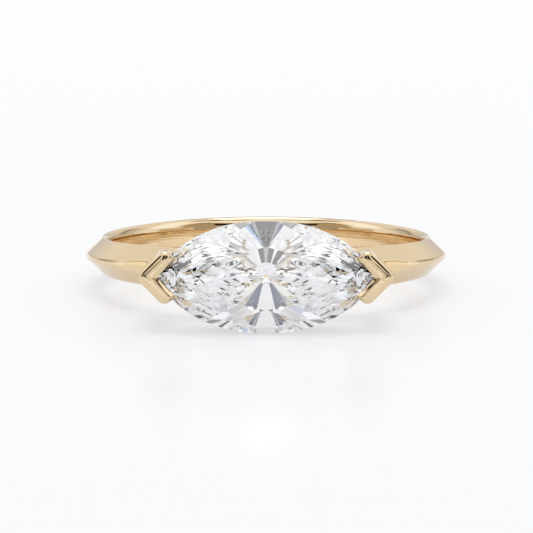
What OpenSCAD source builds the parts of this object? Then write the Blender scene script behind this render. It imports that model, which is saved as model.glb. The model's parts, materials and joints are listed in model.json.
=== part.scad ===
// East west ring: a knife edge hoop with one marquise stone lying across it.
// Drawn lying on its side: the back of the hoop and the stone touch the plane z = 0.
// The ring's own frame has the stone towards -Y and the finger hole along Z.

/* [Finger hole] */
// Radius of the finger hole
bore_r = 8.25; // [7.5:0.05:10]

/* [Hoop] */
// From the finger hole out to the knife edge
hoop_depth = 1.2; // [1.1:0.05:1.4]
// From the finger hole out to the crest of each rim
rim_step = 0.28; // [0.24:0.01:0.32]
// How far down the finger hole its comfort rounding reaches
comfort = 0.5; // [0.3:0.05:0.6]
// Radius that rounds the knife edge
edge_round = 0.25; // [0.15:0.05:0.3]
// Width of the hoop at its two sides
side_w = 1.88; // [1.7:0.02:2.2]
// Width of the hoop at its back and under the stone
back_w = 2.28; // [1.9:0.02:2.6]
// From the finger hole out to the flat shoulders that carry the claws
shoulder_depth = 0.94; // [0.8:0.02:0.96]
// Angle from the stone's middle to the middle of each flat shoulder
shoulder_angle = 42; // [38:1:46]

/* [Marquise stone] */
// Length from tip to tip
stone_l = 12.04; // [11.6:0.02:12.4]
// Width across the middle
stone_w = 5.68; // [5.2:0.02:6]
// Height of the crown above the girdle
crown_h = 0.78; // [0.6:0.02:0.95]
// Depth of the pavilion below the girdle
pavilion_h = 2.45; // [2:0.05:2.6]
// Thickness of the girdle
girdle_t = 0.2; // [0.16:0.02:0.26]
// Size of the table, as a part of the stone's size
table_part = 0.56; // [0.5:0.01:0.62]
// Fullness of the outline: 2 is a plain arc, more is fuller
outline_power = 2.32; // [2.1:0.02:2.5]
// From the finger hole out to the middle of the girdle
girdle_reach = 3.45; // [3.4:0.05:3.7]

/* [Claws] */
// Width of each arm of a claw
arm_w = 1.06; // [0.8:0.02:1.2]
// From the middle of the stone to the middle of each claw's corner
claw_x = 5.86; // [5.8:0.02:6]
// Length of an arm, from the corner to the middle of its round end
arm_l = 1.04; // [0.9:0.02:1.3]
// From the middle of the girdle out to the face of the claws
claw_rise = 0.52; // [0.45:0.01:0.6]
// Bevel round the face of the claws
claw_bevel = 0.14; // [0.08:0.02:0.2]

/* [Hidden] */

// Small lengths: the play round the stone in its seat, and overlaps for clean cuts
play = 0.03;
spare = 0.05;

// Hoop
edge_r = bore_r + hoop_depth;
rim_r = bore_r + rim_step;
rim_round = rim_step + spare;
shoulder_r = bore_r + shoulder_depth;
hoop_sections = 120;
rim_steps = 6;
edge_steps = 3;

// Claws, by distance from the finger hole's axis and from the middle of the stone
girdle_r = bore_r + girdle_reach;
face_r = girdle_r + claw_rise;
claw_straight = 1;
claw_root_r = bore_r - 1.65;
root_x = claw_x - 0.01;
root_arm_l = 0.55;
root_w = 0.64;
claw_turn = 11.25;

// Stone: where its main facets touch the outline, as parts of the half length from the middle to a tip
crown_mains = [1, 0.64, 0];
pavilion_mains = [0.9, 0.68, 0.46, 0.26, 0.08];
// Half facets: where they touch the outline, and how far in they leave the mains, as a part of the way out
crown_halves = [[0.935, 0.77], [0.755, 0.78], [0.49, 0.77], [0.17, 0.78]];
pavilion_halves = [[0.79, 0.2], [0.57, 0.2], [0.36, 0.2], [0.17, 0.2]];
// Stars: how far they reach from the table towards the girdle, and how far they stay off its corners
star_part = 0.5;
star_lift = 0.008;
culet_cut = 0.02;
outline_steps = 12;
half_l = stone_l / 2;
half_w = stone_w / 2;
girdle_half = girdle_t / 2;

// How the ring lies: on the back rim and on the lower edge of the girdle
back_low = [rim_r, -back_w / 2];
front_low = [-(girdle_r - girdle_half), -half_w];
lie_angle = atan2(back_low[1] - front_low[1], back_low[0] - front_low[0]);
lie_drop = front_low[1] * cos(lie_angle) - front_low[0] * sin(lie_angle);
table_r = girdle_r + girdle_half + crown_h;
lie_back = (table_r - edge_r) / 2;

// The ring's own frame turned and lowered to the way it lies
module lying() {
    translate([0, lie_back, -lie_drop])
        rotate([-lie_angle, 0, 0])
            children();
}

// Half the width of the hoop, at an angle from the stone's middle
function half_width(a) = (side_w + (back_w - side_w) * pow(cos(a), 2)) / 2;

// How far out the hoop may reach there: the shoulders are flats cut across the knife edge
function reach(a) =
    let (off = min(a, 360 - a) - shoulder_angle)
    off < 0 ? shoulder_r
    : off > 80 ? edge_r
    : min(edge_r, shoulder_r / cos(off));

// Angle of the flank's normal, for a flank that runs from the rim to the rounded edge
function flank_angle(h) =
    let (run = rim_r - (edge_r - edge_round))
    atan2(h, run) - acos(edge_round / norm([run, h]));

// Distance out to the flank or the rounded edge, at height z
function outer_r(z, psi) =
    let (mid = edge_r - edge_round)
    z < edge_round * sin(psi)
    ? mid + sqrt(edge_round * edge_round - z * z)
    : mid + (edge_round - z * sin(psi)) / cos(psi);

// Height at which the flank comes in to the distance r
function flank_height(r, psi) = (edge_round - (r - (edge_r - edge_round)) * cos(psi)) / sin(psi);

// Upper half of the hoop's section, from the finger hole round to the edge
function half_section(a) =
    let (
        h = half_width(a),
        psi = flank_angle(h),
        cap = reach(a),
        top = max(edge_round * sin(psi), cap < edge_r ? flank_height(cap, psi) : 0)
    )
    concat(
        [for (i = [0:rim_steps])
            let (t = 180 - 90 * i / rim_steps)
            [rim_r + rim_round * cos(t), h - comfort + comfort * sin(t)]],
        [for (i = [0:edge_steps])
            let (z = top * (1 - i / edge_steps))
            [min(cap, outer_r(z, psi)), z]]
    );

// Whole section: the upper half, then the same points mirrored, without the middle one
function section(a) =
    let (upper = half_section(a), n = len(upper))
    concat(upper, [for (i = [n - 2:-1:0]) [upper[i][0], -upper[i][1]]]);

// Turns a section point to its angle round the hole: 0 is at the stone, -Y
function around(p, a) = [p[0] * sin(a), -p[0] * cos(a), p[1]];

module hoop_blank() {
    step = 360 / hoop_sections;
    per = len(section(0));
    points = [for (s = [0:hoop_sections - 1]) each [for (p = section(s * step)) around(p, s * step)]];
    faces = [for (s = [0:hoop_sections - 1]) for (i = [0:per - 1])
        let (s2 = (s + 1) % hoop_sections, i2 = (i + 1) % per)
        [s * per + i, s2 * per + i, s2 * per + i2, s * per + i2]];
    polyhedron(points = points, faces = faces);
}

module finger_hole() {
    cylinder(r = bore_r, h = 3 * back_w, center = true, $fn = 180);
}

// Outline of a claw seen from its face: rounds of width w at its corner and at both arm ends
function claw_outline(corner_x, length, w) =
    let (d = length / sqrt(2), mids = [[corner_x, 0], [corner_x - d, d], [corner_x - d, -d]])
    [for (c = [0:2])
        let (from = [-45, 45, 180][c], to = [45, 180, 315][c], steps = (to - from) / claw_turn)
        for (i = [0:steps])
            let (t = from + i * claw_turn)
            mids[c] + w / 2 * [cos(t), sin(t)]];

// The whole V filled in: its outline at the face, below the bevel, and down to its root
module claw_body() {
    layers = [
        [face_r, claw_outline(claw_x, arm_l, arm_w - 2 * claw_bevel)],
        [face_r - claw_bevel, claw_outline(claw_x, arm_l, arm_w)],
        [face_r - claw_straight, claw_outline(claw_x, arm_l, arm_w)],
        [claw_root_r, claw_outline(root_x, root_arm_l, root_w)]
    ];
    n = len(layers[0][1]);
    last = len(layers) - 1;
    points = [for (layer = layers) each [for (p = layer[1]) [p[0], -layer[0], p[1]]]];
    faces = concat(
        [[for (i = [n - 1:-1:0]) i], [for (i = [0:n - 1]) last * n + i]],
        [for (k = [0:last - 1]) for (i = [0:n - 1])
            let (i2 = (i + 1) % n)
            [k * n + i, k * n + i2, (k + 1) * n + i2, (k + 1) * n + i]]
    );
    polyhedron(points = points, faces = faces);
}

// The open inside of the V, from its face down to the girdle
module claw_notch() {
    translate([claw_x - arm_w / sqrt(2), -girdle_r, 0])
        rotate([0, 45, 0])
            translate([-2 * arm_l, -2 * claw_rise, -2 * arm_l])
                cube([2 * arm_l, 2 * claw_rise, 2 * arm_l]);
}

// One claw is a V of two arms round a tip of the stone
module claw() {
    difference() {
        claw_body();
        claw_notch();
    }
}

// Half the width of the stone's outline at u, a part of the half length
function outline(u) = half_w * (1 - pow(u, outline_power));

// Every place round the stone at these parts of the half length: the part, and the signs of x and y
function all_round(parts) =
    [for (u = parts, sx = [1, -1], sy = [1, -1])
        if (!(u == 1 && sy < 0) && !(u == 0 && sx < 0)) [u, sx, sy]];

// Point of the outline at such a place
function outline_point(at) = [at[1] * half_l * at[0], at[2] * outline(at[0])];

// Outward normal of the outline there, divided by its distance from the middle
function outline_normal(at) =
    let (
        u = at[0],
        slope = half_w / half_l * outline_power * pow(u, outline_power - 1),
        n = u == 1 ? [at[1], 0] : [at[1] * slope, at[2]]
    )
    n / (n * outline_point(at));

// Where the ridge between two mains would pass above or below the girdle
function ridge(a, b) =
    let (m = outline_normal(a), n = outline_normal(b), d = m[0] * n[1] - m[1] * n[0])
    [(n[1] - m[1]) / d, (m[0] - n[0]) / d];

// The mains on both sides of a place
function neighbours(at, mains) =
    let (
        towards_tip = min([for (v = mains) if (v > at[0]) v]),
        towards_belly = max([for (v = mains) if (v < at[0]) v])
    )
    [[towards_tip, at[1], at[2]], [towards_belly, at[1], at[2]]];

// A facet is a point on it and its outward normal: this one rises from the outline to a peak on the axis
function facet(at, side, peak) =
    let (m = outline_normal(at))
    [[0, 0, side * (girdle_half + peak)], [m[0], m[1], side / peak]];

function main_facets(mains, side, peak) = [for (at = all_round(mains)) facet(at, side, peak)];

function half_facets(halves, mains, side, peak) =
    [for (half = halves) for (at = all_round([half[0]]))
        let (
            pair = neighbours(at, mains),
            along = outline_normal(at) * ridge(pair[0], pair[1])
        )
        facet(at, side, peak * (1 - half[1]) / (1 - half[1] * along))];

// A star leans on one edge of the table and points at the ridge below it
function star_facets() =
    let (
        table_z = girdle_half + crown_h,
        point_z = girdle_half + crown_h * (1 - star_part),
        reach = 1 - (1 - table_part) * (1 - star_part)
    )
    [for (k = [0, 1], sx = [1, -1], sy = [1, -1])
        let (
            from = [crown_mains[k], sx, sy],
            to = [crown_mains[k + 1], sx, sy],
            a = concat(table_part * outline_point(from), table_z),
            b = concat(table_part * outline_point(to), table_z),
            c = concat(reach * ridge(from, to), point_z),
            n = cross(b - a, c - a),
            up = n / norm(n) * sign(n[2])
        )
        [a + star_lift * up, up]];

// All that lies inside a facet
module inside(facet) {
    n = facet[1];
    translate(facet[0])
        rotate([0, acos(n[2] / norm(n)), atan2(n[1], n[0])])
            translate([-stone_l, -stone_l, -2 * stone_l])
                cube(2 * stone_l);
}

// The outline as a block from the culet to the table
module rough_stone() {
    culet_z = girdle_half + pavilion_h - culet_cut;
    table_z = girdle_half + crown_h;
    steps = outline_steps;
    belly = [for (i = [-steps:steps - 1]) [half_l * i / steps, -outline(abs(i) / steps)]];
    translate([0, 0, -culet_z])
        linear_extrude(height = culet_z + table_z)
            polygon(concat(belly, -belly));
}

module marquise() {
    crown_peak = crown_h / (1 - table_part);
    facets = concat(
        main_facets(crown_mains, 1, crown_peak),
        half_facets(crown_halves, crown_mains, 1, crown_peak),
        star_facets(),
        main_facets(pavilion_mains, -1, pavilion_h),
        half_facets(pavilion_halves, pavilion_mains, -1, pavilion_h)
    );
    intersection() {
        rough_stone();
        intersection_for (facet = facets)
            inside(facet);
    }
}

// The stone in the ring's frame, with its table facing out
module set_stone() {
    translate([0, -girdle_r, 0])
        rotate([90, 0, 0])
            marquise();
}

// The same stone a little larger all round, as the cutter that opens its seat
module seat() {
    grow = 1 + 2 * play / stone_w;
    translate([0, -girdle_r, 0])
        rotate([90, 0, 0])
            scale(grow)
                marquise();
}

module gold_hoop() {
    color("#e3c795")
        lying()
            difference() {
                union() {
                    hoop_blank();
                    claw();
                    mirror([1, 0, 0]) claw();
                }
                finger_hole();
                seat();
            }
}

module marquise_stone() {
    color("#eef2f6")
        lying()
            set_stone();
}

gold_hoop();
marquise_stone();
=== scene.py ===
import json
import math
from collections import namedtuple
from types import SimpleNamespace

import bmesh
import bpy
from bpy.props import FloatProperty, FloatVectorProperty, PointerProperty
from mathutils import Matrix, Vector


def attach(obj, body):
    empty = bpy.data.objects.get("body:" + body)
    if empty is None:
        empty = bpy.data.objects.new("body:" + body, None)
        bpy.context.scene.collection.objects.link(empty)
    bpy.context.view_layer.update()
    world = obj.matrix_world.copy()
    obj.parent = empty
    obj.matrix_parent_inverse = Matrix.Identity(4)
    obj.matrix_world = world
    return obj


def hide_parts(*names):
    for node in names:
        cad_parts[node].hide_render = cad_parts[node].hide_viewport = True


bl_info = {
    "name": "East West Ring",
    "version": (1, 0, 0),
    "blender": (4, 5, 0),
    "location": "3D View > Sidebar > Ring",
    "description": "Dresses the packed ring: polished gold hoop and claws, cut stone, pale studio",
    "category": "Object",
}

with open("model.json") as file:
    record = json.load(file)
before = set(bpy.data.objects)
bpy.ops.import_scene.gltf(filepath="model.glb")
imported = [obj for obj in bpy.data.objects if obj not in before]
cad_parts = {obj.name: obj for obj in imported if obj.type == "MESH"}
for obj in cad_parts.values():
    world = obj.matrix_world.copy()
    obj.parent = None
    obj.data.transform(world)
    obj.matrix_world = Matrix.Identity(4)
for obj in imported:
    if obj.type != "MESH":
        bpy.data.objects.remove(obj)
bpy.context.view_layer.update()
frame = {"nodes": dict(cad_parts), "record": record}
MM = 0.001

# The finger hole's place, lean and radius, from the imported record
BORE = next(m for m in frame["record"]["mounts"] if m["name"] == "finger_bore")
CENTRE = Vector(BORE["pos_m"])
LEAN = math.atan2(BORE["axis"][1], BORE["axis"][2])
BORE_R = BORE["dims"]["r_mm"]

# Modelled in the ring's own frame in millimetres, with the stone towards -Y, then laid down
LAY_DOWN = Matrix.Translation(CENTRE) @ Matrix.Rotation(-LEAN, 4, "X") @ Matrix.Scale(MM, 4)

# Width and height of the photograph in pixels
PHOTO_SIZE = 533
# Where the middle of the finger hole stands in it
PHOTO_CENTRE = (266.05, 253.7)
# Its pixels to a millimetre, at the middle of the finger hole
PHOTO_SCALE = 19.07

# Angle of the lens over the hoop's plane, and its distance
LENS_ANGLE = math.radians(5.9)
LENS_DISTANCE = 300 * MM
# Nearest and farthest that it sees, as shares of that distance
LENS_NEAR = 0.1
LENS_FAR = 20
# Width of the sensor behind it, in mm
SENSOR_WIDTH = 36

# Bounces of light inside the stone, and between the polished pieces
STONE_BOUNCES = 32
MIRROR_BOUNCES = 12
# Width of the floor in metres
FLOOR_SIZE = 2.0

# Sections that the hoop is turned in
HOOP_SECTIONS = 240
# Steps of each curve of its profile, and the turn of each step of the rim's rounding
COMFORT_STEPS = 9
RIM_STEPS = 3
RIM_TURN = math.radians(18)
EDGE_STEPS = 6
# Angle past the middle of a shoulder where none of it is left
SHOULDER_END = math.radians(80)

# Millimetres within which two places count as one
TOUCH = 0.001
# Part of a direction along the ring's Y past which a face looks out and an edge is upright
FACING = 0.9
UPRIGHT = 0.8
# Edges sharper than this are softened
SHARP_EDGE = math.radians(20)
# Faces of the hoop and the claws that meet at less than these angles are shaded as one
HOOP_SMOOTH = math.radians(24)
CLAW_SMOOTH = math.radians(16)
# Segments of a claw's larger roundings, of its softened edges and of the hoop's
ROUND_SEGMENTS = 8
CLAW_SEGMENTS = 5
HOOP_SEGMENTS = 3
# Size of a claw at its root, as a share of its size at the face
ROOT_SHARE = 0.62
# Size of the stone's seat, as a share of the stone's
SEAT_SHARE = 1.008

# Values between which most of a noise texture lies
NOISE_LOW = 0.3
NOISE_HIGH = 0.7
# Patterns of the finishes, as features to a millimetre
BLOOM_PER_MM = 0.5
WAVES_PER_MM = 0.9
LINES_PER_MM = 0.16
GROWTH_PER_MM = 0.7
SATIN_PER_MM = 0.9
# How many times closer the polishing lines lie than they are long
LINE_STRETCH = 60
# Lowest and highest roughness of the gold and of the floor
GOLD_ROUGHNESS = (0.01, 0.035)
FLOOR_ROUGHNESS = (0.1, 0.16)
# Height that the gold's waves are drawn from, and how much of it is kept
WAVE_HEIGHT = 0.1 * MM
WAVE_STRENGTH = 0.03
# Depth of the polishing lines in the finger hole
LINE_DEPTH = 0.003 * MM
# Distances out from the finger hole between which they fade away, in mm
LINES_FADE = (0.05, 0.15)
# Refractive index of diamond, and of the floor's top. The floor's is matched to the photograph,
# where it mirrors very little.
DIAMOND_INDEX = 2.417
FLOOR_INDEX = 1.06

# Brightness of the light tent's plain wall, and of its back wall down where it meets the floor
TENT_LEVEL = 0.95
BACK_WALL_FOOT = 0.67
# Height, as the upward part of a direction, at which the back wall is as bright as the rest
BACK_WALL_TOP = 0.43
# Where the back wall begins and where it is whole, as the part of a direction away from the lens
BACK_WALL_START = 0.4
BACK_WALL_WHOLE = 0.6
# Softness of the edges of its boards
CRISP = 0.012
SOFT = 0.05
WHITE_BOARD = "#FFFFFF"
WARM_BOARD = "#FFE8C6"
SLATE_BOARD = "#3C4C7C"
SKY_BOARD = "#A9C6F6"
COOL_BOARD = "#E8F0FF"

# A board or gap of the tent: its colour, brightness and softness, then the spans of a direction's
# sideways part, its part away from the lens, and its upward part. A span that goes on to the end
# of the tent is given past it, and later boards lie over earlier ones.
Board = namedtuple("Board", "colour level edge sideways away up")
# Boards that stand at both sides alike
TENT_PANELS = (
    # bright line where the tent meets the floor at the sides
    Board(WHITE_BOARD, 1.2, CRISP, (0.85, 2), (-0.6, 2), (-0.1, 0.03)),
    # side walls, duller towards the back
    Board(WHITE_BOARD, 1.02, SOFT, (0.9, 2), (-0.05, 0.25), (0.03, 0.24)),
    Board(WHITE_BOARD, 0.66, SOFT, (0.6, 0.9), (0.25, 0.75), (0.03, 0.4)),
    # dull boards beside the camera
    Board(WHITE_BOARD, 0.4, CRISP, (0.6, 0.82), (-0.85, -0.5), (-0.1, 0.2)),
    # warm boards low at the sides
    Board(WARM_BOARD, 0.68, SOFT, (0.85, 2), (-0.6, -0.05), (0.03, 0.2)),
    # cool lamps at both sides
    Board(COOL_BOARD, 1.5, SOFT, (0.58, 2), (-0.26, 0.16), (0.3, 0.84)),
    # front panel above the lens
    Board(WHITE_BOARD, 1.25, CRISP, (-1, 2), (-2, -0.1), (0.58, 0.9)),
    # warm boards beside the lens
    Board(WARM_BOARD, 0.5, SOFT, (0.5, 0.92), (-0.9, -0.36), (0.18, 0.58)),
    # dark edges of the front panel
    Board(WHITE_BOARD, 0.03, CRISP, (0.58, 0.74), (-0.57, -0.4), (0.56, 0.61)),
    # dark flags beside the lens
    Board(WHITE_BOARD, 0.02, CRISP, (0.38, 0.6), (-0.9, -0.62), (0.31, 0.5)),
    # wall below the lens and its dull edges
    Board(WHITE_BOARD, 0.85, CRISP, (-1, 0.28), (-2, -0.8), (-0.1, 0.22)),
    Board(WHITE_BOARD, 0.35, CRISP, (0.2, 0.28), (-2, -0.8), (0.1, 0.22)),
    # slate boards that flag the lens at both sides
    Board(SLATE_BOARD, 0.6, CRISP, (0.29, 0.56), (-2, -0.8), (0.08, 0.2)),
    # gap that the lens looks through
    Board(WHITE_BOARD, 0.01, CRISP, (-1, 0.2), (-2, -0.6), (0.22, 0.5)),
    # pale strip down its middle
    Board(WHITE_BOARD, 0.6, CRISP, (-1, 0.022), (-2, -0.6), (0.22, 0.5)),
    # thin seam above it
    Board(WHITE_BOARD, 0.05, CRISP, (-1, 0.78), (-0.6, -0.1), (0.76, 0.82)),
    # side seams towards the back
    Board(WHITE_BOARD, 0.4, SOFT, (0.67, 0.78), (0.15, 2), (0.05, 0.45)),
    # dull corners beside the overhead lamp
    Board(WHITE_BOARD, 0.4, CRISP, (0.38, 0.48), (-0.35, 0.1), (0.74, 0.92)),
    # overhead lamp
    Board(WHITE_BOARD, 3.5, CRISP, (-1, 0.3), (-0.2, 0.3), (0.9, 2)),
)
# Boards that stand at one side only, left of the lens where the sideways part is below nought
ONE_SIDED_PANELS = (
    # dark flag at the left of the lens
    Board(WHITE_BOARD, 0.02, CRISP, (-0.56, -0.4), (-2, -0.8), (0.2, 0.3)),
    # pale blue sky light at its right
    Board(SKY_BOARD, 1.0, CRISP, (0.5, 0.64), (-0.87, -0.76), (-0.06, 0.07)),
)


def linear(hex_colour):
    """sRGB hex colour as linear red, green, blue, alpha"""
    channels = [int(hex_colour[i : i + 2], 16) / 255 for i in (1, 3, 5)]
    return [c / 12.92 if c <= 0.04045 else ((c + 0.055) / 1.055) ** 2.4 for c in channels] + [1.0]


class RingHoopSizes(bpy.types.PropertyGroup):
    """Sizes of the hoop"""

    depth: FloatProperty(
        name="Depth",
        description="From the finger hole out to the knife edge",
        default=1.2 * MM,
        min=1.0 * MM,
        unit="LENGTH",
    )
    rim_step: FloatProperty(
        name="Rim step",
        description="From the finger hole out to the crest of the rim",
        default=0.28 * MM,
        unit="LENGTH",
    )
    rim_round: FloatProperty(
        name="Rim rounding",
        description="Radius of the rounding between the crest of the rim and the flank",
        default=0.05 * MM,
        unit="LENGTH",
    )
    comfort: FloatProperty(
        name="Comfort rounding",
        description="How far down the finger hole its rounding reaches",
        default=0.5 * MM,
        unit="LENGTH",
    )
    edge_round: FloatProperty(
        name="Edge rounding",
        description="Radius of the rounded knife edge",
        default=0.25 * MM,
        unit="LENGTH",
    )
    side_width: FloatProperty(
        name="Side width",
        description="Width of the hoop at its two sides",
        default=1.88 * MM,
        unit="LENGTH",
    )
    back_width: FloatProperty(
        name="Back width",
        description="Width of the hoop at its back and front",
        default=2.28 * MM,
        unit="LENGTH",
    )
    shoulder_depth: FloatProperty(
        name="Shoulder depth",
        description="From the finger hole out to the flat shoulders",
        default=0.94 * MM,
        unit="LENGTH",
    )
    shoulder_angle: FloatProperty(
        name="Shoulder angle",
        description="From the stone's middle round to the middle of each shoulder",
        default=math.radians(42),
        subtype="ANGLE",
    )
    shoulder_crown: FloatProperty(
        name="Shoulder crown",
        description="How much of the edge's rounding the shoulders keep",
        default=0.3,
        min=0,
        max=1,
        subtype="FACTOR",
    )
    soften: FloatProperty(
        name="Soft edges",
        description="Width of the roundings that polishing leaves on sharp edges",
        default=0.04 * MM,
        unit="LENGTH",
    )


class RingClawSizes(bpy.types.PropertyGroup):
    """Sizes of the claws"""

    corner: FloatProperty(
        name="Corner",
        description="From the stone's middle to the middle of a claw's corner",
        default=5.865 * MM,
        unit="LENGTH",
    )
    arm_width: FloatProperty(
        name="Arm width",
        description="Width of each arm",
        default=1.06 * MM,
        unit="LENGTH",
    )
    upper_arm: FloatProperty(
        name="Upper arm",
        description="From the middle of the corner to the end of the upper arm",
        default=1.6 * MM,
        unit="LENGTH",
    )
    lower_arm: FloatProperty(
        name="Lower arm",
        description="From the middle of the corner to the end of the lower arm",
        default=1.59 * MM,
        unit="LENGTH",
    )
    rise: FloatProperty(
        name="Rise",
        description="From the middle of the girdle out to the face of the claws",
        default=0.52 * MM,
        unit="LENGTH",
    )
    straight: FloatProperty(
        name="Straight depth",
        description="Depth over which the arms keep their width",
        default=1.0 * MM,
        unit="LENGTH",
    )
    root: FloatProperty(
        name="Root",
        description="From the finger hole's axis to the claws' hidden roots",
        default=6.6 * MM,
        unit="LENGTH",
    )
    face_lean: FloatProperty(
        name="Face lean",
        description="How far the face falls back towards its outer edge",
        default=0.05 * MM,
        unit="LENGTH",
    )
    corner_round: FloatProperty(
        name="Corner rounding",
        description="Radius of the outer corner of the V",
        default=0.5 * MM,
        unit="LENGTH",
    )
    end_round: FloatProperty(
        name="End rounding",
        description="Radius of the corners of each arm's end",
        default=0.42 * MM,
        unit="LENGTH",
    )
    face_round: FloatProperty(
        name="Face rounding",
        description="Rounding of the outer edge of the face",
        default=0.13 * MM,
        unit="LENGTH",
    )
    chamfer: FloatProperty(
        name="Chamfer",
        description="Width of the flat chamfer round the face",
        default=0.09 * MM,
        min=0.01 * MM,
        unit="LENGTH",
    )
    chamfer_drop: FloatProperty(
        name="Chamfer drop",
        description="How far the chamfer falls from the face",
        default=0.03 * MM,
        min=0.01 * MM,
        unit="LENGTH",
    )
    inner_chamfer: FloatProperty(
        name="Inner chamfer",
        description="Width of the same chamfer on the stone's side",
        default=0.17 * MM,
        unit="LENGTH",
    )
    inner_bevel: FloatProperty(
        name="Inner bevel",
        description="Width of the bevel between the inner chamfer and the wall",
        default=0.27 * MM,
        unit="LENGTH",
    )
    bevel_drop: FloatProperty(
        name="Bevel drop",
        description="How far the inner bevel falls",
        default=0.19 * MM,
        unit="LENGTH",
    )
    inner_wall: FloatProperty(
        name="Inner wall",
        description="Width of the steep wall next to the stone",
        default=0.18 * MM,
        unit="LENGTH",
    )
    wall_drop: FloatProperty(
        name="Wall drop",
        description="How far the steep wall falls",
        default=0.28 * MM,
        unit="LENGTH",
    )
    soften: FloatProperty(
        name="Soft edges",
        description="Width of the roundings that polishing leaves on sharp edges",
        default=0.06 * MM,
        unit="LENGTH",
    )


class RingFinish(bpy.types.PropertyGroup):
    """Colours of the finishes, and the glow of the floor"""

    gold: FloatVectorProperty(
        name="Gold",
        description="Colour of polished light yellow gold",
        default=linear("#E7D0AB"),
        size=4,
        min=0,
        max=1,
        subtype="COLOR",
    )
    stone: FloatVectorProperty(
        name="Stone",
        description="Body colour of the stone",
        default=linear("#F9F9FA"),
        size=4,
        min=0,
        max=1,
        subtype="COLOR",
    )
    growth: FloatVectorProperty(
        name="Growth",
        description="Colour of the stone's faint growth bands",
        default=linear("#F6F7F9"),
        size=4,
        min=0,
        max=1,
        subtype="COLOR",
    )
    floor: FloatVectorProperty(
        name="Floor",
        description="Colour of the floor",
        default=linear("#ABABAB"),
        size=4,
        min=0,
        max=1,
        subtype="COLOR",
    )
    glow: FloatVectorProperty(
        name="Glow",
        description="Colour of the light that comes up through the floor",
        default=linear("#F3F4F7"),
        size=4,
        min=0,
        max=1,
        subtype="COLOR",
    )
    glow_level: FloatProperty(
        name="Glow level",
        description="Brightness of the light that comes up through the floor",
        default=0.522,
        min=0,
    )


def in_mm(group):
    """A group's sizes, with its lengths in the millimetres that the ring is modelled in"""
    sizes = {}
    for name, kind in group.bl_rna.properties.items():
        if kind.type == "FLOAT":
            value = getattr(group, name)
            if kind.unit == "LENGTH":
                # Single precision, as a mesh's own places have
                value = Vector((round(value / MM, 6), 0)).x
            sizes[name] = value
    return SimpleNamespace(**sizes)


def add_node(tree, kind, inputs=None, **settings):
    """Adds a node, gives it settings, and sets or links its inputs"""
    node = tree.nodes.new(kind)
    for name, value in settings.items():
        setattr(node, name, value)
    for socket, value in (inputs or {}).items():
        if isinstance(value, bpy.types.NodeSocket):
            tree.links.new(value, node.inputs[socket])
        else:
            node.inputs[socket].default_value = value
    return node


def new_material(name):
    """Empty node material with its output node"""
    material = bpy.data.materials.new(name)
    material.use_nodes = True
    material.node_tree.nodes.clear()
    output = material.node_tree.nodes.new("ShaderNodeOutputMaterial")
    return material, material.node_tree, output


def polished_gold(finish):
    """Fourteen carat light yellow gold, cast, then polished on a felt wheel.
    The eye gets a warm mirror, with a faint bloom where the wheel left it less bright."""
    material, tree, output = new_material("felt_polished_gold")
    place = add_node(tree, "ShaderNodeTexCoord").outputs["Object"]
    # Soft patches about 2 mm across, as the felt wheel leaves them
    bloom = add_node(
        tree, "ShaderNodeTexNoise", {"Vector": place, "Scale": BLOOM_PER_MM / MM, "Detail": 3.0}
    )
    roughness = add_node(
        tree,
        "ShaderNodeMapRange",
        {
            "Value": bloom.outputs["Fac"],
            "From Min": NOISE_LOW,
            "From Max": NOISE_HIGH,
            "To Min": GOLD_ROUGHNESS[0],
            "To Max": GOLD_ROUGHNESS[1],
        },
    )
    # Waves of a few microns that keep long highlights from being ruled straight
    wave = add_node(
        tree, "ShaderNodeTexNoise", {"Vector": place, "Scale": WAVES_PER_MM / MM, "Detail": 1.0}
    )
    bump = add_node(
        tree,
        "ShaderNodeBump",
        {"Height": wave.outputs["Fac"], "Strength": WAVE_STRENGTH, "Distance": WAVE_HEIGHT},
    )
    # Polishing lines that run round the finger hole, about 0.1 mm apart and a micron or so deep,
    # on the hole's own wall only
    ring_place = add_node(
        tree,
        "ShaderNodeMapping",
        {"Vector": place, "Location": CENTRE, "Rotation": (-LEAN, 0, 0)},
        vector_type="TEXTURE",
    ).outputs["Vector"]
    outwards = add_node(
        tree, "ShaderNodeVectorMath", {0: ring_place, 1: (1, 1, 0)}, operation="MULTIPLY"
    )
    distance = add_node(
        tree, "ShaderNodeVectorMath", {0: outwards.outputs["Vector"]}, operation="LENGTH"
    )
    in_hole = add_node(
        tree,
        "ShaderNodeMapRange",
        {
            "Value": distance.outputs["Value"],
            "From Min": (BORE_R + LINES_FADE[0]) * MM,
            "From Max": (BORE_R + LINES_FADE[1]) * MM,
            "To Min": 1.0,
            "To Max": 0.0,
        },
    )
    stretched = add_node(
        tree, "ShaderNodeVectorMath", {0: ring_place, 1: (1, 1, LINE_STRETCH)}, operation="MULTIPLY"
    )
    lines = add_node(
        tree,
        "ShaderNodeTexNoise",
        {"Vector": stretched.outputs["Vector"], "Scale": LINES_PER_MM / MM, "Detail": 3.0},
    )
    polish = add_node(
        tree,
        "ShaderNodeBump",
        {
            "Height": lines.outputs["Fac"],
            "Strength": in_hole.outputs["Result"],
            "Distance": LINE_DEPTH,
            "Normal": bump.outputs["Normal"],
        },
    )
    shader = add_node(
        tree,
        "ShaderNodeBsdfPrincipled",
        {
            "Base Color": finish.gold,
            "Metallic": 1.0,
            "Roughness": roughness.outputs["Result"],
            "Normal": polish.outputs["Normal"],
        },
    )
    tree.links.new(shader.outputs["BSDF"], output.inputs["Surface"])
    return material


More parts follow.
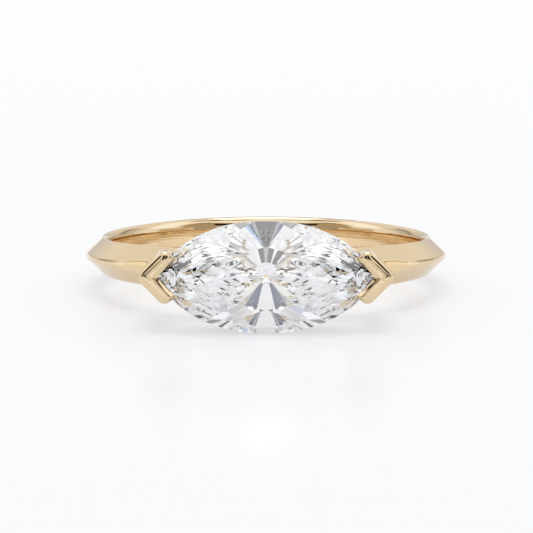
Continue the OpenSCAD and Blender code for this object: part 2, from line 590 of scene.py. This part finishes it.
def cut_diamond(finish):
    """Colourless diamond, sawn and polished on a cast iron lap.
    The eye gets flat mirrors on a clear body of very high index, which throws light back out."""
    material, tree, output = new_material("cut_diamond")
    place = add_node(tree, "ShaderNodeTexCoord").outputs["Object"]
    # Growth banding far too weak to see as lines, about 1.5 mm apart
    growth = add_node(
        tree, "ShaderNodeTexNoise", {"Vector": place, "Scale": GROWTH_PER_MM / MM, "Detail": 2.0}
    )
    body = add_node(
        tree,
        "ShaderNodeMix",
        {"Factor": growth.outputs["Fac"], 6: finish.stone, 7: finish.growth},
        data_type="RGBA",
    )
    shader = add_node(
        tree,
        "ShaderNodeBsdfPrincipled",
        {
            "Base Color": body.outputs[2],
            "Roughness": 0.0,
            "IOR": DIAMOND_INDEX,
            "Transmission Weight": 1.0,
        },
    )
    tree.links.new(shader.outputs["BSDF"], output.inputs["Surface"])
    return material


def pale_floor(finish):
    """White acrylic top of a light table, cast and lightly satin.
    The eye gets a pale ground that glows a little and mirrors little, so shadows stay light."""
    material, tree, output = new_material("white_acrylic")
    place = add_node(tree, "ShaderNodeTexCoord").outputs["Object"]
    # Patches of the satin top, about 1 mm across
    satin = add_node(
        tree, "ShaderNodeTexNoise", {"Vector": place, "Scale": SATIN_PER_MM / MM, "Detail": 2.0}
    )
    roughness = add_node(
        tree,
        "ShaderNodeMapRange",
        {
            "Value": satin.outputs["Fac"],
            "To Min": FLOOR_ROUGHNESS[0],
            "To Max": FLOOR_ROUGHNESS[1],
        },
    )
    shader = add_node(
        tree,
        "ShaderNodeBsdfPrincipled",
        {
            "Base Color": finish.floor,
            "Roughness": roughness.outputs["Result"],
            "IOR": FLOOR_INDEX,
            "Emission Color": finish.glow,
            "Emission Strength": finish.glow_level,
        },
    )
    tree.links.new(shader.outputs["BSDF"], output.inputs["Surface"])
    return material


def deselect_all():
    """Leaves nothing selected, the CAD nodes included"""
    bpy.ops.object.select_all(action="DESELECT")


def activate(obj):
    """Makes obj the only selected object, and the active one"""
    deselect_all()
    obj.select_set(True)
    bpy.context.view_layer.objects.active = obj


def select_vertices(obj, test):
    """In edit mode, selects just the vertices whose place passes the test"""
    bpy.ops.mesh.select_mode(type="VERT")
    bpy.ops.mesh.select_all(action="DESELECT")
    mesh = bmesh.from_edit_mesh(obj.data)
    for vertex in mesh.verts:
        vertex.select = test(vertex.co)
    mesh.select_flush(True)
    bmesh.update_edit_mesh(obj.data)


def select_edges(obj, test):
    """In edit mode, selects just the edges whose middle and direction pass the test"""
    bpy.ops.mesh.select_mode(type="EDGE")
    bpy.ops.mesh.select_all(action="DESELECT")
    mesh = bmesh.from_edit_mesh(obj.data)
    for edge in mesh.edges:
        a, b = edge.verts[0].co, edge.verts[1].co
        edge.select = test((a + b) / 2, (b - a).normalized())
    bmesh.update_edit_mesh(obj.data)


def select_faces(obj, test):
    """In edit mode, selects just the faces whose normal passes the test"""
    bpy.ops.mesh.select_mode(type="FACE")
    bpy.ops.mesh.select_all(action="DESELECT")
    mesh = bmesh.from_edit_mesh(obj.data)
    mesh.normal_update()
    for face in mesh.faces:
        face.select = test(face.normal)
    bmesh.update_edit_mesh(obj.data)


def apply_modifier(obj, kind, **settings):
    """Adds a modifier with its settings, and applies it"""
    activate(obj)
    modifier = obj.modifiers.new(kind.lower(), kind)
    for name, value in settings.items():
        setattr(modifier, name, value)
    bpy.ops.object.modifier_apply(modifier=modifier.name)


def cut_away(obj, cutter):
    """Cuts the cutter's shape out of obj, and deletes the cutter"""
    apply_modifier(obj, "BOOLEAN", operation="DIFFERENCE", object=cutter, solver="MANIFOLD")
    bpy.data.objects.remove(cutter, do_unlink=True)


def soften_edges(obj, width, segments, buried=lambda place: False):
    """Rounds the sharp edges a little, as polishing does, but for those with a buried end"""
    activate(obj)
    bpy.ops.object.mode_set(mode="EDIT")
    bpy.ops.mesh.select_mode(type="EDGE")
    bpy.ops.mesh.select_all(action="DESELECT")
    bpy.ops.mesh.edges_select_sharp(sharpness=SHARP_EDGE)
    mesh = bmesh.from_edit_mesh(obj.data)
    for edge in mesh.edges:
        if buried(edge.verts[0].co) or buried(edge.verts[1].co):
            edge.select = False
    bmesh.update_edit_mesh(obj.data)
    bpy.ops.mesh.bevel(offset=width, segments=segments)
    bpy.ops.object.mode_set(mode="OBJECT")


def lay_down(obj):
    """Turns a piece from the ring's own frame in millimetres to its place on the floor"""
    obj.data.transform(LAY_DOWN)
    obj.matrix_world = Matrix.Identity(4)


def finish_piece(obj, material, smooth_angle):
    """Lays a piece down, shades it, gives it its material and body, and hides the CAD hoop"""
    lay_down(obj)
    activate(obj)
    bpy.ops.object.shade_smooth_by_angle(angle=smooth_angle)
    obj.data.materials.clear()
    obj.data.materials.append(material)
    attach(obj, "root")
    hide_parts("gold_hoop")


def flank_lean(half, run, edge_round):
    """Angle between the hoop's plane and the way that a flank faces. The flank starts half up and
    run out from the middle of the edge's rounding, and touches that rounding."""
    return math.atan2(half, run) - math.acos(edge_round / math.hypot(run, half))


def hoop_profile(sizes):
    """Places out from the finger hole's axis and up, from the middle of the hole up and over to
    the edge, and the lean of the flank"""
    half = sizes.side_width / 2
    rim_r = BORE_R + sizes.rim_step
    mid_r = BORE_R + sizes.depth - sizes.edge_round
    flank = flank_lean(half, rim_r + sizes.rim_round - mid_r, sizes.edge_round)
    places = [(BORE_R, 0.0)]
    for i in range(COMFORT_STEPS + 1):
        t = math.pi - i * math.pi / 2 / COMFORT_STEPS
        up = half - sizes.comfort * (1 - math.sin(t))
        places.append((rim_r + sizes.rim_step * math.cos(t), up))
    for i in range(1, RIM_STEPS + 1):
        t = math.pi / 2 - i * RIM_TURN
        up = half - sizes.rim_round * (1 - math.sin(t))
        places.append((rim_r + sizes.rim_round * math.cos(t), up))
    for i in range(EDGE_STEPS + 1):
        t = flank * (1 - i / EDGE_STEPS)
        places.append((mid_r + sizes.edge_round * math.cos(t), sizes.edge_round * math.sin(t)))
    return places, flank


def turn_hoop(sizes):
    """Draws the hoop's section ring by ring: one circle, extruded and scaled from place to place"""
    upper, flank = hoop_profile(sizes)
    places = upper + [(r, -z) for r, z in reversed(upper[1:-1])]
    start_r, start_z = places[0]
    deselect_all()
    bpy.ops.mesh.primitive_circle_add(
        vertices=HOOP_SECTIONS, radius=start_r, location=(0, 0, start_z)
    )
    hoop = bpy.context.object
    hoop.name = "knife_edge_hoop"
    bpy.ops.object.mode_set(mode="EDIT")
    bpy.ops.mesh.select_all(action="SELECT")
    r, z = start_r, start_z
    for next_r, next_z in places[1:] + places[:1]:
        bpy.ops.mesh.extrude_edges_move()
        bpy.ops.transform.resize(value=(next_r / r, next_r / r, 1), center_override=(0, 0, z))
        bpy.ops.transform.translate(value=(0, 0, next_z - z))
        r, z = next_r, next_z
    bpy.ops.mesh.select_all(action="SELECT")
    bpy.ops.mesh.remove_doubles(threshold=TOUCH)
    bpy.ops.mesh.normals_make_consistent(inside=False)
    return hoop, flank


def shape_hoop(hoop, sizes, flank):
    """Widens the hoop towards its back and front, and lowers the edge into the flat shoulders"""
    mid_r = BORE_R + sizes.depth - sizes.edge_round
    crest_r = mid_r + sizes.edge_round * math.cos(flank)
    crest_height = BORE_R + sizes.depth - crest_r
    step = math.tau / HOOP_SECTIONS
    for i in range(HOOP_SECTIONS):
        turn = i * step
        out = Vector((math.sin(turn), -math.cos(turn), 0))
        along = Vector((math.cos(turn), math.sin(turn), 0))
        widen = 1 + (sizes.back_width / sizes.side_width - 1) * math.cos(turn) ** 2
        crest_low = sizes.edge_round * math.sin(flank) * widen

        def in_section(p):
            return p.dot(out) > 0 and abs(p.dot(along)) < step * BORE_R / 2

        def in_crest(p):
            return in_section(p) and abs(p.z) < crest_low + TOUCH and p.dot(out) > mid_r

        select_vertices(hoop, in_section)
        bpy.ops.transform.resize(value=(1, 1, widen), center_override=(0, 0, 0))
        off = min(turn, math.tau - turn) - sizes.shoulder_angle
        if off > SHOULDER_END:
            continue
        cap = (BORE_R + sizes.shoulder_depth) / math.cos(max(0.0, off))
        if cap > crest_r + crest_height:
            continue
        half = sizes.side_width / 2 * widen
        lean = flank_lean(half, BORE_R + sizes.rim_step - mid_r, sizes.edge_round)
        reach = (sizes.edge_round - (cap - mid_r) * math.cos(lean)) / math.sin(lean)
        lower = max(sizes.shoulder_crown, (cap - crest_r) / crest_height)
        select_vertices(hoop, in_crest)
        bpy.ops.transform.resize(
            value=(lower, 1, max(1, reach / crest_low)),
            orient_type="GLOBAL",
            orient_matrix=(out, along, (0, 0, 1)),
            orient_matrix_type="GLOBAL",
            center_override=out * crest_r,
        )
        bpy.ops.transform.translate(value=out * (min(cap, crest_r) - crest_r))


class RING_OT_hoop(bpy.types.Operator):
    """Models the knife edge hoop with its flat shoulders"""

    bl_idname = "ring.hoop"
    bl_label = "Hoop"

    def execute(self, context):
        sizes = in_mm(context.scene.ring_hoop)
        gold = bpy.data.materials["felt_polished_gold"]
        hoop, flank = turn_hoop(sizes)
        shape_hoop(hoop, sizes, flank)
        bpy.ops.object.mode_set(mode="OBJECT")
        soften_edges(hoop, sizes.soften, HOOP_SEGMENTS)
        finish_piece(hoop, gold, HOOP_SMOOTH)
        return {"FINISHED"}


def girdle_distance():
    """How far the girdle's widest line lies from the finger hole's axis, in mm"""
    stone = frame["nodes"]["marquise_stone"]
    to_ring = LAY_DOWN.inverted() @ stone.matrix_world
    places = [to_ring @ v.co for v in stone.data.vertices]
    tip = max(p.x for p in places)
    at_tip = [p.y for p in places if p.x > tip - TOUCH]
    return -sum(at_tip) / len(at_tip)


def seat_cutter():
    """A copy of the stone in the ring's own frame, a little larger, that cuts its seat"""
    stone = frame["nodes"]["marquise_stone"]
    cutter = stone.copy()
    cutter.data = stone.data.copy()
    bpy.context.scene.collection.objects.link(cutter)
    cutter.data.transform(LAY_DOWN.inverted() @ stone.matrix_world)
    cutter.matrix_world = Matrix.Identity(4)
    activate(cutter)
    bpy.ops.object.mode_set(mode="EDIT")
    bpy.ops.mesh.select_all(action="SELECT")
    bpy.ops.mesh.remove_doubles(threshold=TOUCH)
    bpy.ops.transform.resize(
        value=(SEAT_SHARE, SEAT_SHARE, SEAT_SHARE), center_override=(0, -girdle_distance(), 0)
    )
    bpy.ops.object.mode_set(mode="OBJECT")
    return cutter


def faces_out(normal):
    """Whether a face with this normal looks away from the finger hole, as a claw's face does"""
    return normal.y < -FACING


def is_upright(way):
    """Whether an edge of this direction runs from a claw's face towards its root"""
    return abs(way.y) > UPRIGHT


def draw_chevron(sizes, face_y):
    """The claw's face: a square corner with two arms extruded from its sides, turned to a V"""
    w = sizes.arm_width
    deselect_all()
    bpy.ops.mesh.primitive_plane_add(
        size=w, location=(0, face_y, 0), rotation=(math.pi / 2, 0, 0)
    )
    claw = bpy.context.object
    claw.name = "v_claw_right"
    bpy.ops.object.transform_apply(location=True, rotation=True, scale=True)
    bpy.ops.object.mode_set(mode="EDIT")
    arms = ((Vector((-1, 0, 0)), sizes.upper_arm), (Vector((0, 0, -1)), sizes.lower_arm))
    for axis, length in arms:
        side = axis * w / 2 + Vector((0, face_y, 0))
        select_edges(claw, lambda mid, way: (mid - side).length < TOUCH)
        bpy.ops.mesh.extrude_edges_move()
        bpy.ops.transform.translate(value=axis * (length - w / 2))
    bpy.ops.object.mode_set(mode="OBJECT")
    turn = Matrix.Rotation(math.radians(45), 4, "Y")
    claw.data.transform(Matrix.Translation((sizes.corner, 0, 0)) @ turn)
    return claw


def model_claw(sizes):
    """One claw: its face drawn back over the girdle, then down to the hoop, with its corners
    rounded and the face raised inside its chamfer"""
    face_y = -(girdle_distance() + sizes.rise)
    rim = sizes.chamfer + sizes.face_round
    rim_drop = rim * sizes.chamfer_drop / sizes.chamfer
    claw = draw_chevron(sizes, face_y + rim_drop)
    outer = sizes.corner + sizes.arm_width / math.sqrt(2)
    bpy.ops.object.mode_set(mode="EDIT")
    select_vertices(claw, lambda p: p.x + abs(p.z) > outer - TOUCH)
    bpy.ops.transform.translate(value=(0, sizes.face_lean, 0))
    bpy.ops.mesh.select_all(action="SELECT")
    bpy.ops.mesh.extrude_region_move()
    bpy.ops.transform.translate(value=(0, sizes.straight, 0))
    bpy.ops.mesh.extrude_region_move()
    bpy.ops.transform.translate(value=(0, -face_y - sizes.straight - sizes.root, 0))
    bpy.ops.transform.resize(
        value=(ROOT_SHARE, 1, ROOT_SHARE), center_override=(sizes.corner, 0, 0)
    )
    bpy.ops.mesh.select_all(action="SELECT")
    bpy.ops.mesh.normals_make_consistent(inside=False)

    # The corner's upright edges are nearer to the claw's middle plane than this, and those of the
    # arms' ends farther from it than this
    corner_z = 0.05
    end_z = 0.3

    def at_corner(mid, way):
        return is_upright(way) and abs(mid.z) < corner_z and mid.x > sizes.corner

    def at_end(mid, way):
        return is_upright(way) and abs(mid.z) > end_z and mid.x < sizes.corner - TOUCH

    select_edges(claw, at_corner)
    bpy.ops.mesh.bevel(offset=sizes.corner_round, segments=ROUND_SEGMENTS)
    select_edges(claw, at_end)
    bpy.ops.mesh.bevel(offset=sizes.end_round, segments=ROUND_SEGMENTS)
    select_faces(claw, faces_out)
    bpy.ops.mesh.inset(thickness=rim, depth=rim_drop)
    return claw, face_y


def round_face(claw, sizes, face_y):
    """Rounds the outer edge of a claw's face, and leaves the edge on the stone's side"""
    inner = sizes.corner - sizes.arm_width / math.sqrt(2)
    # The face's own edges are no deeper than this, and the stone's side no further off than this
    face_depth = 0.2
    inner_side = 0.02
    bpy.ops.mesh.select_mode(type="EDGE")
    bpy.ops.mesh.select_all(action="DESELECT")
    mesh = bmesh.from_edit_mesh(claw.data)
    mesh.normal_update()
    for edge in mesh.edges:
        mid = (edge.verts[0].co + edge.verts[1].co) / 2
        rim = len({faces_out(f.normal) for f in edge.link_faces}) == 2
        near = mid.y < face_y + face_depth
        edge.select = rim and near and abs(mid.x + abs(mid.z) - inner) > inner_side
    bmesh.update_edit_mesh(claw.data)
    bpy.ops.mesh.bevel(offset=sizes.face_round, segments=ROUND_SEGMENTS)
    bpy.ops.object.mode_set(mode="OBJECT")


def bevel_cutter(sizes, face_y):
    """A square block with slopes towards its foot, that cuts the chamfer, the bevel and the wall
    on the stone's side of a V"""
    # Reach of each step, from the stone's middle to the block's corner
    inner = sizes.corner - sizes.arm_width / math.sqrt(2)
    wall = inner + sizes.inner_wall * math.sqrt(2)
    bevel = wall + sizes.inner_bevel * math.sqrt(2)
    chamfer = bevel + sizes.inner_chamfer * math.sqrt(2)
    # How far the block starts in front of the face, and how much its foot draws in
    above = 0.1
    foot = 0.4
    deselect_all()
    bpy.ops.mesh.primitive_plane_add(size=2, location=(0, 0, 0), rotation=(math.pi / 2, 0, 0))
    cutter = bpy.context.object
    bpy.ops.object.transform_apply(location=True, rotation=True, scale=True)
    # Stood on its corner, it reaches 1 mm each way
    turn = Matrix.Rotation(math.radians(45), 4, "Y")
    cutter.data.transform(turn @ Matrix.Scale(1 / math.sqrt(2), 4))
    bpy.ops.object.mode_set(mode="EDIT")
    bpy.ops.mesh.select_all(action="SELECT")
    reach = chamfer + above * sizes.chamfer * math.sqrt(2) / sizes.chamfer_drop
    bpy.ops.transform.resize(value=(reach, 1, reach), center_override=(0, 0, 0))
    bpy.ops.transform.translate(value=(0, face_y - above, 0))
    bevel_y = face_y + sizes.inner_chamfer * sizes.chamfer_drop / sizes.chamfer
    wall_y = bevel_y + sizes.bevel_drop
    for next_reach, next_y in (
        (bevel, bevel_y),
        (wall, wall_y),
        (inner, wall_y + sizes.wall_drop),
        (inner - foot, face_y + sizes.straight),
    ):
        scale = next_reach / reach
        bpy.ops.mesh.extrude_region_move()
        bpy.ops.transform.resize(value=(scale, 1, scale), center_override=(0, 0, 0))
        bpy.ops.transform.translate(value=(0, next_y - cutter_level(cutter), 0))
        reach = next_reach
    bpy.ops.mesh.select_all(action="SELECT")
    bpy.ops.mesh.normals_make_consistent(inside=False)
    bpy.ops.object.mode_set(mode="OBJECT")
    return cutter


def cutter_level(cutter):
    """In edit mode, the level of the selected face of the cutter, along the ring's Y"""
    return max(v.co.y for v in bmesh.from_edit_mesh(cutter.data).verts if v.select)


class RING_OT_claws(bpy.types.Operator):
    """Models the V claws that hold the stone's tips"""

    bl_idname = "ring.claws"
    bl_label = "Claws"

    def execute(self, context):
        sizes = in_mm(context.scene.ring_claws)
        gold = bpy.data.materials["felt_polished_gold"]
        # The last tenth of a millimetre before the root lies inside the hoop
        root_y = -sizes.root - 0.1
        claw, face_y = model_claw(sizes)
        round_face(claw, sizes, face_y)
        cut_away(claw, bevel_cutter(sizes, face_y))
        soften_edges(claw, sizes.soften, CLAW_SEGMENTS, lambda place: place.y > root_y)
        cut_away(claw, seat_cutter())
        other = claw.copy()
        other.data = claw.data.copy()
        other.name = "v_claw_left"
        context.scene.collection.objects.link(other)
        other.data.transform(Matrix.Scale(-1, 4, (1, 0, 0)))
        other.data.flip_normals()
        for piece in (claw, other):
            finish_piece(piece, gold, CLAW_SMOOTH)
            apply_modifier(piece, "WEIGHTED_NORMAL", keep_sharp=True)
        return {"FINISHED"}


class RING_OT_stone(bpy.types.Operator):
    """Gives the cut stone its material"""

    bl_idname = "ring.stone"
    bl_label = "Stone"

    def execute(self, context):
        stone = frame["nodes"]["marquise_stone"]
        stone.data.materials.clear()
        stone.data.materials.append(bpy.data.materials["cut_diamond"])
        return {"FINISHED"}


class RING_OT_materials(bpy.types.Operator):
    """Makes the finishes"""

    bl_idname = "ring.materials"
    bl_label = "Materials"

    def execute(self, context):
        finish = context.scene.ring_finish
        polished_gold(finish)
        cut_diamond(finish)
        pale_floor(finish)
        return {"FINISHED"}


def ramp(tree, value, start, end, low, high):
    """Goes smoothly from low to high as the value goes from start to end"""
    inputs = {"Value": value, "From Min": start, "From Max": end, "To Min": low, "To Max": high}
    node = add_node(tree, "ShaderNodeMapRange", inputs, interpolation_type="SMOOTHSTEP")
    return node.outputs["Result"]


def multiply(tree, a, b):
    """Product of two values"""
    return add_node(tree, "ShaderNodeMath", {0: a, 1: b}, operation="MULTIPLY").outputs["Value"]


def span(tree, value, edge, low, high):
    """1 where the value lies between low and high, 0 elsewhere, with soft edges"""
    above = ramp(tree, value, low - edge, low + edge, 0.0, 1.0)
    below = ramp(tree, value, high - edge, high + edge, 1.0, 0.0)
    return multiply(tree, above, below)


def mix(tree, share, first, second):
    """Goes from the first colour to the second as the share goes from 0 to 1"""
    inputs = {"Factor": share, 6: first, 7: second}
    return add_node(tree, "ShaderNodeMix", inputs, data_type="RGBA").outputs[2]


def light_tent(scene):
    """White tent round the ring, with boards brighter and darker than its wall"""
    world = bpy.data.worlds.new("light_tent")
    scene.world = world
    world.use_nodes = True
    tree = world.node_tree
    tree.nodes.clear()
    way = add_node(tree, "ShaderNodeTexCoord")
    part = add_node(tree, "ShaderNodeSeparateXYZ", {"Vector": way.outputs["Generated"]}).outputs
    side = add_node(tree, "ShaderNodeMath", {0: part["X"]}, operation="ABSOLUTE").outputs["Value"]
    back = ramp(tree, part["Y"], BACK_WALL_START, BACK_WALL_WHOLE, 0.0, 1.0)
    foot = ramp(tree, part["Z"], 0.0, BACK_WALL_TOP, BACK_WALL_FOOT, TENT_LEVEL)
    light = mix(tree, back, [TENT_LEVEL * c for c in linear(WHITE_BOARD)], foot)
    across = [side] * len(TENT_PANELS) + [part["X"]] * len(ONE_SIDED_PANELS)
    for x, board in zip(across, TENT_PANELS + ONE_SIDED_PANELS):
        beside = span(tree, x, board.edge, *board.sideways)
        ahead = span(tree, part["Y"], board.edge, *board.away)
        height = span(tree, part["Z"], board.edge, *board.up)
        inside = multiply(tree, multiply(tree, beside, ahead), height)
        light = mix(tree, inside, light, [board.level * c for c in linear(board.colour)])
    background = add_node(tree, "ShaderNodeBackground", {"Color": light, "Strength": 1.0})
    output = add_node(tree, "ShaderNodeOutputWorld")
    tree.links.new(background.outputs["Background"], output.inputs["Surface"])


def add_camera(scene):
    """Long lens that looks at the ring from the photograph's angle"""
    elevation = LENS_ANGLE + LEAN
    back = Vector((0, -math.cos(elevation), math.sin(elevation)))
    up = Vector((0, math.sin(elevation), math.cos(elevation)))
    right = Vector((1, 0, 0))
    pixel = MM / PHOTO_SCALE
    off_x = PHOTO_CENTRE[0] - PHOTO_SIZE / 2
    off_y = PHOTO_CENTRE[1] - PHOTO_SIZE / 2
    target = CENTRE - right * off_x * pixel + up * off_y * pixel
    data = bpy.data.cameras.new("long_lens")
    data.sensor_width = SENSOR_WIDTH
    data.lens = PHOTO_SCALE * (LENS_DISTANCE / MM) * SENSOR_WIDTH / PHOTO_SIZE
    data.clip_start = LENS_DISTANCE * LENS_NEAR
    data.clip_end = LENS_DISTANCE * LENS_FAR
    camera = bpy.data.objects.new("long_lens", data)
    scene.collection.objects.link(camera)
    camera.location = target + back * LENS_DISTANCE
    camera.rotation_euler = (-back).to_track_quat("-Z", "Y").to_euler()
    scene.camera = camera


class RING_OT_stage(bpy.types.Operator):
    """Makes the floor, the light tent and the camera"""

    bl_idname = "ring.stage"
    bl_label = "Stage"

    def execute(self, context):
        scene = context.scene
        deselect_all()
        bpy.ops.mesh.primitive_plane_add(size=FLOOR_SIZE, location=(0, 0, 0))
        floor = context.object
        floor.name = "floor"
        floor.data.materials.append(bpy.data.materials["white_acrylic"])
        light_tent(scene)
        add_camera(scene)
        scene.view_settings.view_transform = "Standard"
        scene.cycles.max_bounces = STONE_BOUNCES
        scene.cycles.transmission_bounces = STONE_BOUNCES
        scene.cycles.glossy_bounces = MIRROR_BOUNCES
        return {"FINISHED"}


class RING_PT_panel(bpy.types.Panel):
    """Lists the ring's sizes, finishes and pieces"""

    bl_idname = "RING_PT_panel"
    bl_label = "East West Ring"
    bl_space_type = "VIEW_3D"
    bl_region_type = "UI"
    bl_category = "Ring"

    def draw(self, context):
        scene = context.scene
        layout = self.layout
        for group in (scene.ring_hoop, scene.ring_claws, scene.ring_finish):
            for name, kind in group.bl_rna.properties.items():
                if kind.type == "FLOAT":
                    layout.prop(group, name)
        for step in STEPS:
            layout.operator(step.bl_idname)


GROUPS = (RingHoopSizes, RingClawSizes, RingFinish)
STEPS = (RING_OT_materials, RING_OT_hoop, RING_OT_claws, RING_OT_stone, RING_OT_stage)


def register():
    for cls in GROUPS + STEPS + (RING_PT_panel,):
        bpy.utils.register_class(cls)
    bpy.types.Scene.ring_hoop = PointerProperty(type=RingHoopSizes)
    bpy.types.Scene.ring_claws = PointerProperty(type=RingClawSizes)
    bpy.types.Scene.ring_finish = PointerProperty(type=RingFinish)


def unregister():
    del bpy.types.Scene.ring_finish
    del bpy.types.Scene.ring_claws
    del bpy.types.Scene.ring_hoop
    for cls in reversed(GROUPS + STEPS + (RING_PT_panel,)):
        bpy.utils.unregister_class(cls)


def main():
    register()
    bpy.ops.ring.materials()
    bpy.ops.ring.hoop()
    bpy.ops.ring.claws()
    bpy.ops.ring.stone()
    bpy.ops.ring.stage()


if __name__ == "__main__":
    main()
